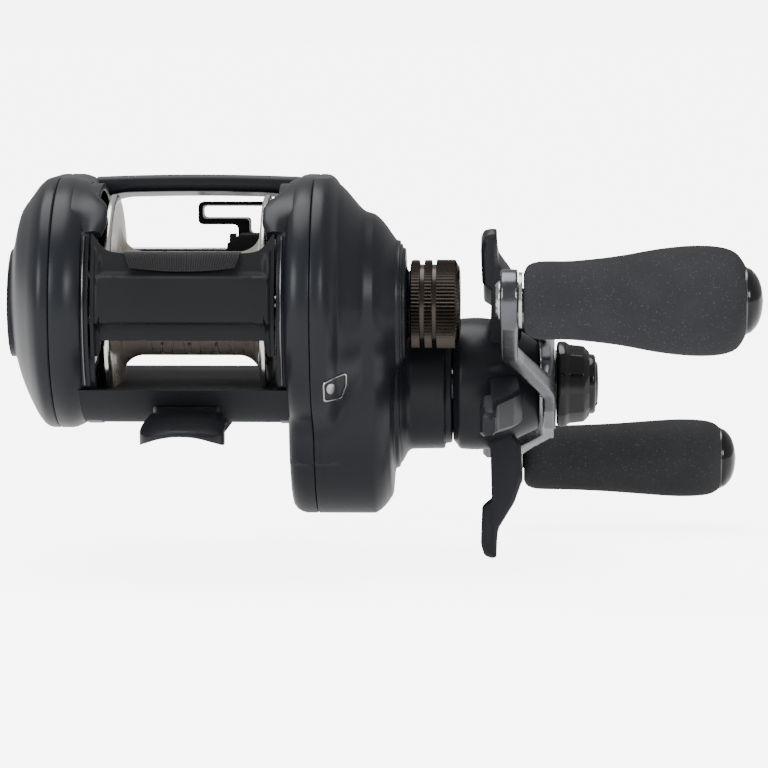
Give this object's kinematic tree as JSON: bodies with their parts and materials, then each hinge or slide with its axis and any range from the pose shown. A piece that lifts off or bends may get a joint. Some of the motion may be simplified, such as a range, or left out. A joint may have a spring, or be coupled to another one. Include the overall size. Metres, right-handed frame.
{
  "type": "baitcasting reel",
  "caption": "Low-profile right-hand baitcasting fishing reel with open spool bay, star drag, tension cap, double crank with paddle knobs, clutch bar and travelling line guide.",
  "frame": {"origin": "middle of the foot's underside, on the level flat that rests on the rod", "axes": "+X along the spool axis towards the handle, +Y towards the rod tip, +Z away from the rod"},
  "size_m": [0.1163, 0.1015, 0.0607],
  "materials": {
    "satin_black": "satin blue-black paint on aluminium",
    "moulded_black": "matte moulded black plastic",
    "gloss_black": "polished black",
    "grip_rubber": "soft speckled dark grey foam rubber",
    "steel": "polished stainless steel",
    "dark_chrome": "dark gunmetal chrome",
    "bronze_black": "dark bronze anodised, knurled",
    "spool_alloy": "dark anodised aluminium with bright rims",
    "brass": "machined brass",
    "acetal": "natural acetal plastic",
    "carbon": "woven carbon drag washer",
    "magnet": "nickel plated magnet"
  },
  "bodies": {
    "root": {"frame": "satin_black", "front_hood": "satin_black", "palm_cover": "satin_black", "palm_cover_screw": "dark_chrome", "spool_bearing_left": "steel", "spool_bearing_right": "steel", "pinion_bearing_inner": "steel", "pinion_bearing_outer": "steel", "drive_shaft_bearing": "steel", "one_way_bearing": "steel", "sleeve_bearing": "steel", "worm_bush_left": "acetal", "worm_bush_right": "acetal", "worm_guard": "dark_chrome", "guide_rod": "steel", "gear_cover": "satin_black", "gear_cover_screw_upper": "dark_chrome", "gear_cover_screw_lower": "dark_chrome"},
    "dial": {"brake_dial": "dark_chrome"},
    "magnets": {"brake_magnet_holder": "moulded_black", "brake_magnet_ring": "magnet"},
    "spool": {"spool": "spool_alloy", "spool_shaft": "steel", "brake_rotor": "steel"},
    "pinion": {"pinion_gear": "brass"},
    "yoke": {"clutch_yoke": "moulded_black", "yoke_spring_1": "steel", "yoke_spring_2": "steel"},
    "cam": {"clutch_cam": "acetal"},
    "thumb_bar": {"clutch_bar": "moulded_black", "thumb_pad": "moulded_black"},
    "handle": {"drive_shaft": "steel", "levelwind_drive_gear": "acetal", "ratchet_wheel": "steel", "drive_gear": "brass", "drag_washer_inner": "carbon", "drag_washer_outer": "carbon", "drag_pressure_plate": "steel", "one_way_sleeve": "steel", "star_spring_washers": "steel", "crank": "dark_chrome", "handle_nut": "gloss_black", "nut_retainer": "steel", "knob_post_upper": "steel", "knob_post_lower": "steel"},
    "star": {"star_drag": "satin_black"},
    "upper_knob": {"knob_upper": "grip_rubber", "knob_cap_upper": "gloss_black"},
    "lower_knob": {"knob_lower": "grip_rubber", "knob_cap_lower": "gloss_black"},
    "worm": {"worm_shaft": "steel", "worm_gear": "acetal"},
    "carriage": {"line_guide_carriage": "moulded_black", "line_guide_pawl": "brass", "line_guide_pin": "steel"},
    "wing": {"line_guide_wing": "moulded_black", "line_guide_insert": "steel"},
    "cap": {"tension_cap": "bronze_black", "tension_shim": "brass"},
    "pawl": {"anti_reverse_pawl": "steel"}
  },
  "joints": [
    {"name": "handle_spin", "type": "hinge", "parent": "root", "child": "handle", "pos_m": [0, 0.00738, 0.00539], "axis": [1, 0, 0], "continuous": true},
    {"name": "spool_spin", "type": "hinge", "parent": "root", "child": "spool", "pos_m": [0, -0.005, 0.0188], "axis": [1, 0, 0], "continuous": true},
    {"name": "yoke_slide", "type": "slide", "parent": "root", "child": "yoke", "axis": [1, 0, 0], "range_m": [0, 0.0013]},
    {"name": "pinion_spin", "type": "hinge", "parent": "yoke", "child": "pinion", "pos_m": [0, -0.005, 0.0188], "axis": [1, 0, 0], "continuous": true},
    {"name": "clutch_slide", "type": "slide", "parent": "root", "child": "thumb_bar", "axis": [0, 0, -1], "range_m": [0, 0.0045]},
    {"name": "cam_turn", "type": "hinge", "parent": "root", "child": "cam", "pos_m": [0, -0.005, 0.0188], "axis": [1, 0, 0], "range_deg": [0, 20]},
    {"name": "wing_tilt", "type": "hinge", "parent": "carriage", "child": "wing", "pos_m": [0, 0.02582, 0.02723], "axis": [-1, 0, 0], "range_deg": [0, 30]},
    {"name": "guide_slide", "type": "slide", "parent": "root", "child": "carriage", "axis": [1, 0, 0], "range_m": [-0.0166, 0.0002]},
    {"name": "worm_spin", "type": "hinge", "parent": "root", "child": "worm", "pos_m": [0, 0.02152, 0.01953], "axis": [1, 0, 0], "continuous": true},
    {"name": "star_turn", "type": "hinge", "parent": "handle", "child": "star", "pos_m": [0, 0.00738, 0.00539], "axis": [1, 0, 0], "range_deg": [-180, 180]},
    {"name": "upper_knob_spin", "type": "hinge", "parent": "handle", "child": "upper_knob", "pos_m": [0, -0.03477, 0.02115], "axis": [1, 0, 0], "continuous": true},
    {"name": "lower_knob_spin", "type": "hinge", "parent": "handle", "child": "lower_knob", "pos_m": [0, 0.04953, -0.01037], "axis": [1, 0, 0], "continuous": true},
    {"name": "cap_turn", "type": "hinge", "parent": "root", "child": "cap", "pos_m": [0, -0.005, 0.0188], "axis": [1, 0, 0], "range_deg": [-180, 180]},
    {"name": "dial_turn", "type": "hinge", "parent": "root", "child": "dial", "pos_m": [0, -0.005, 0.0188], "axis": [1, 0, 0], "range_deg": [0, 300]},
    {"name": "magnet_slide", "type": "slide", "parent": "root", "child": "magnets", "axis": [1, 0, 0], "range_m": [0, 0.0015]},
    {"name": "pawl_swing", "type": "hinge", "parent": "root", "child": "pawl", "pos_m": [0, -0.00673, 0.00917], "axis": [1, 0, 0], "range_deg": [-6, 12]}
  ],
  "couplings": [
    {"joint": "spool_spin", "follows": "handle_spin", "ratio": -6.3},
    {"joint": "pinion_spin", "follows": "handle_spin", "ratio": -6.3},
    {"joint": "worm_spin", "follows": "handle_spin", "ratio": -1.7778},
    {"joint": "yoke_slide", "follows": "clutch_slide", "ratio": 0.28889},
    {"joint": "cam_turn", "follows": "clutch_slide", "rad_per_m": 77.566},
    {"joint": "wing_tilt", "follows": "clutch_slide", "rad_per_m": 116.35},
    {"joint": "magnet_slide", "follows": "dial_turn", "m_per_rad": 0.00028646}
  ]
}
